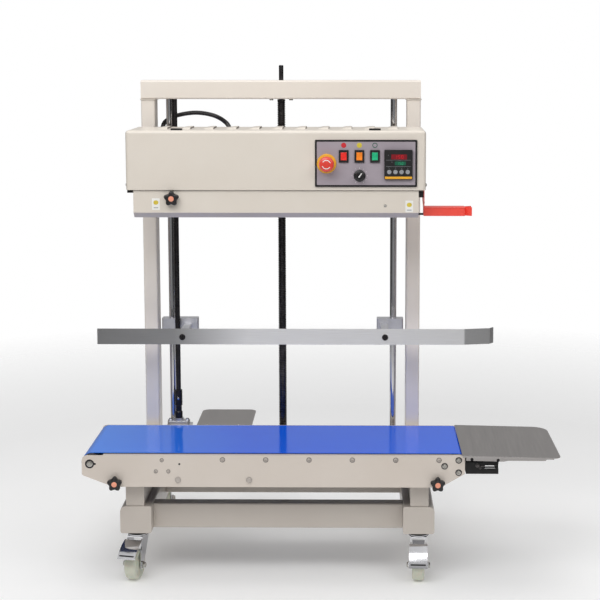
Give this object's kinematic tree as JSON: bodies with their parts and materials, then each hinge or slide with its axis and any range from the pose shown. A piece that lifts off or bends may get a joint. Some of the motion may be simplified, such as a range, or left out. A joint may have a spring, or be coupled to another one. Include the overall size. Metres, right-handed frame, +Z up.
{
  "type": "continuous band sealer",
  "caption": "Floor-standing continuous band sealer: a height-adjustable heated-band sealing head over a belt conveyor that carries upright bags, on lockable swivel casters.",
  "frame": {"origin": "on the floor, under the middle of the machine's bounding box", "axes": "+Z up, -Y towards the operator, +X to the operator's right, which is the infeed end"},
  "size_m": [1.2414, 0.6836, 1.351],
  "materials": {
    "cream_paint": "satin gloss",
    "blue_belt": "gloss",
    "black_plastic": "matte",
    "brushed_steel": "satin",
    "chrome": "polished",
    "black_steel": "blackened, oiled",
    "nylon": "satin",
    "red_plastic": "satin",
    "amber_plastic": "satin",
    "green_plastic": "satin",
    "panel_grey": "satin",
    "sealing_band": "coated cloth",
    "aluminium": "satin"
  },
  "bodies": {
    "base": {"left_leg": "cream_paint", "right_leg": "cream_paint", "crossbar": "cream_paint", "lower_beam": "cream_paint", "left_post": "cream_paint", "right_post": "cream_paint", "top_beam": "cream_paint", "left_guide_rod": "chrome", "right_guide_rod": "chrome", "left_stand": "cream_paint", "right_stand": "cream_paint", "conveyor_front_plate": "cream_paint", "conveyor_rear_plate": "cream_paint", "belt": "blue_belt", "slider_bed": "brushed_steel", "conveyor_gearbox": "aluminium", "rear_shelf": "brushed_steel", "table_bracket": "black_steel"},
    "head": {"head_cover": "cream_paint", "front_guard": "cream_paint", "head_chassis": "cream_paint", "control_panel": "panel_grey", "temperature_controller": "black_plastic", "infeed_guide": "red_plastic", "motor": "aluminium", "heater_block": "aluminium", "band_front": "sealing_band", "band_rear": "sealing_band", "conduit": "black_plastic"},
    "screw": {"lead_screw": "black_steel"},
    "shaft": {"drive_shaft": "black_steel"},
    "guide": {"guide_bar": "brushed_steel", "left_clamp": "brushed_steel", "right_clamp": "brushed_steel"},
    "table": {"infeed_table": "brushed_steel"},
    "left_roller": {"left_roller": "brushed_steel"},
    "drive_roller": {"drive_roller": "brushed_steel"},
    "right_roller": {"right_roller": "brushed_steel"},
    "estop": {"estop_button": "red_plastic"},
    "rocker_red": {"rocker_red": "red_plastic"},
    "rocker_amber": {"rocker_amber": "amber_plastic"},
    "rocker_green": {"rocker_green": "green_plastic"},
    "speed_knob": {"speed_knob": "black_plastic"},
    "pressure_knob": {"pressure_knob": "black_plastic"},
    "left_belt_knob": {"left_belt_knob": "black_plastic"},
    "right_belt_knob": {"right_belt_knob": "black_plastic"},
    "band_wheel_left_front": {"band_wheel_left_front": "brushed_steel"},
    "left_front_caster": {"left_front_caster_fork": "chrome"},
    "left_front_wheel": {"left_front_caster_wheel": "nylon"},
    "band_wheel_left_rear": {"band_wheel_left_rear": "brushed_steel"},
    "left_rear_caster": {"left_rear_caster_fork": "chrome"},
    "left_rear_wheel": {"left_rear_caster_wheel": "nylon"},
    "left_front_pedal": {"left_front_brake_pedal": "chrome"},
    "band_wheel_right_front": {"band_wheel_right_front": "brushed_steel"},
    "right_front_caster": {"right_front_caster_fork": "chrome"},
    "right_front_wheel": {"right_front_caster_wheel": "nylon"},
    "band_wheel_right_rear": {"band_wheel_right_rear": "brushed_steel"},
    "right_rear_caster": {"right_rear_caster_fork": "chrome"},
    "right_rear_wheel": {"right_rear_caster_wheel": "nylon"},
    "right_front_pedal": {"right_front_brake_pedal": "chrome"}
  },
  "joints": [
    {"name": "head_lift", "type": "slide", "parent": "base", "child": "head", "axis": [0, 0, 1], "range_m": [-0.3, 0.03]},
    {"name": "screw_turn", "type": "hinge", "parent": "base", "child": "screw", "pos_m": [-0.1132, 0.0215, 0.5], "axis": [0, 0, 1], "range_deg": [-2160, 21600]},
    {"name": "guide_bar_height", "type": "slide", "parent": "base", "child": "guide", "axis": [0, 0, 1], "range_m": [-0.14, 0.25]},
    {"name": "table_slide", "type": "slide", "parent": "base", "child": "table", "axis": [1, 0, 0], "range_m": [0, 0.04]},
    {"name": "drive_shaft_spin", "type": "hinge", "parent": "base", "child": "shaft", "pos_m": [-0.4052, 0.0085, 0.5], "axis": [0, 0, 1], "continuous": true},
    {"name": "left_roller_spin", "type": "hinge", "parent": "base", "child": "left_roller", "pos_m": [-0.5939, -0.1815, 0.3265], "axis": [0, 1, 0], "continuous": true},
    {"name": "drive_roller_spin", "type": "hinge", "parent": "base", "child": "drive_roller", "pos_m": [-0.4052, -0.1815, 0.309], "axis": [0, 1, 0], "continuous": true},
    {"name": "right_roller_spin", "type": "hinge", "parent": "base", "child": "right_roller", "pos_m": [0.3603, -0.1815, 0.3395], "axis": [0, 1, 0], "continuous": true},
    {"name": "band_wheel_left_front_spin", "type": "hinge", "parent": "head", "child": "band_wheel_left_front", "pos_m": [-0.3832, -0.2075, 0.9925], "axis": [0, 0, 1], "continuous": true},
    {"name": "band_wheel_left_rear_spin", "type": "hinge", "parent": "head", "child": "band_wheel_left_rear", "pos_m": [-0.3832, -0.1535, 0.9925], "axis": [0, 0, 1], "continuous": true},
    {"name": "band_wheel_right_front_spin", "type": "hinge", "parent": "head", "child": "band_wheel_right_front", "pos_m": [0.1568, -0.2075, 0.9925], "axis": [0, 0, 1], "continuous": true},
    {"name": "band_wheel_right_rear_spin", "type": "hinge", "parent": "head", "child": "band_wheel_right_rear", "pos_m": [0.1568, -0.1535, 0.9925], "axis": [0, 0, 1], "continuous": true},
    {"name": "estop_press", "type": "slide", "parent": "head", "child": "estop", "axis": [0, 1, 0], "range_m": [0, 0.006], "stiffness_N_per_m": 600},
    {"name": "rocker_red_tilt", "type": "hinge", "parent": "head", "child": "rocker_red", "pos_m": [0.061, -0.2715, 1.1218], "axis": [1, 0, 0], "range_deg": [-8, 8]},
    {"name": "rocker_amber_tilt", "type": "hinge", "parent": "head", "child": "rocker_amber", "pos_m": [0.101, -0.2715, 1.1218], "axis": [1, 0, 0], "range_deg": [-8, 8]},
    {"name": "rocker_green_tilt", "type": "hinge", "parent": "head", "child": "rocker_green", "pos_m": [0.1407, -0.2715, 1.1218], "axis": [1, 0, 0], "range_deg": [-8, 8]},
    {"name": "speed_knob_turn", "type": "hinge", "parent": "head", "child": "speed_knob", "pos_m": [0.1018, -0.275, 1.0722], "axis": [0, 1, 0], "range_deg": [-150, 150]},
    {"name": "pressure_knob_turn", "type": "hinge", "parent": "head", "child": "pressure_knob", "pos_m": [-0.3802, -0.2665, 1.0118], "axis": [0, 1, 0], "range_deg": [-360, 360]},
    {"name": "left_belt_knob_turn", "type": "hinge", "parent": "base", "child": "left_belt_knob", "pos_m": [-0.5307, -0.3215, 0.2765], "axis": [0, 1, 0], "range_deg": [-360, 360]},
    {"name": "right_belt_knob_turn", "type": "hinge", "parent": "base", "child": "right_belt_knob", "pos_m": [0.3043, -0.3215, 0.2765], "axis": [0, 1, 0], "range_deg": [-360, 360]},
    {"name": "left_front_swivel", "type": "hinge", "parent": "base", "child": "left_front_caster", "pos_m": [-0.4862, -0.2415, 0.12], "axis": [0, 0, 1], "continuous": true},
    {"name": "left_front_roll", "type": "hinge", "parent": "left_front_caster", "child": "left_front_wheel", "pos_m": [-0.4925, -0.26878, 0.04], "axis": [0.9744, -0.225, 0], "continuous": true},
    {"name": "left_front_brake", "type": "hinge", "parent": "left_front_caster", "child": "left_front_pedal", "pos_m": [-0.48935, -0.25514, 0.098], "axis": [0.9744, -0.225, 0], "range_deg": [0, 22]},
    {"name": "left_rear_swivel", "type": "hinge", "parent": "base", "child": "left_rear_caster", "pos_m": [-0.4862, 0.2735, 0.12], "axis": [0, 0, 1], "continuous": true},
    {"name": "left_rear_roll", "type": "hinge", "parent": "left_rear_caster", "child": "left_rear_wheel", "pos_m": [-0.48815, 0.30143, 0.04], "axis": [-0.9976, -0.0698, 0], "continuous": true},
    {"name": "right_front_swivel", "type": "hinge", "parent": "base", "child": "right_front_caster", "pos_m": [0.2598, -0.2415, 0.12], "axis": [0, 0, 1], "continuous": true},
    {"name": "right_front_roll", "type": "hinge", "parent": "right_front_caster", "child": "right_front_wheel", "pos_m": [0.25833, -0.26946, 0.04], "axis": [0.9986, -0.0523, 0], "continuous": true},
    {"name": "right_front_brake", "type": "hinge", "parent": "right_front_caster", "child": "right_front_pedal", "pos_m": [0.25907, -0.25548, 0.098], "axis": [0.9986, -0.0523, 0], "range_deg": [-22, 0]},
    {"name": "right_rear_swivel", "type": "hinge", "parent": "base", "child": "right_rear_caster", "pos_m": [0.2598, 0.2735, 0.12], "axis": [0, 0, 1], "continuous": true},
    {"name": "right_rear_roll", "type": "hinge", "parent": "right_rear_caster", "child": "right_rear_wheel", "pos_m": [0.26175, 0.30143, 0.04], "axis": [-0.9976, 0.0698, 0], "continuous": true}
  ],
  "couplings": [
    {"joint": "screw_turn", "follows": "head_lift", "rad_per_m": -1256.6},
    {"joint": "left_roller_spin", "follows": "drive_shaft_spin", "ratio": -0.9904},
    {"joint": "drive_roller_spin", "follows": "drive_shaft_spin", "ratio": -1.1193},
    {"joint": "right_roller_spin", "follows": "drive_shaft_spin", "ratio": -1.977},
    {"joint": "band_wheel_left_front_spin", "follows": "drive_shaft_spin", "ratio": 1},
    {"joint": "band_wheel_left_rear_spin", "follows": "drive_shaft_spin", "ratio": -1},
    {"joint": "band_wheel_right_front_spin", "follows": "drive_shaft_spin", "ratio": 1},
    {"joint": "band_wheel_right_rear_spin", "follows": "drive_shaft_spin", "ratio": -1}
  ]
}
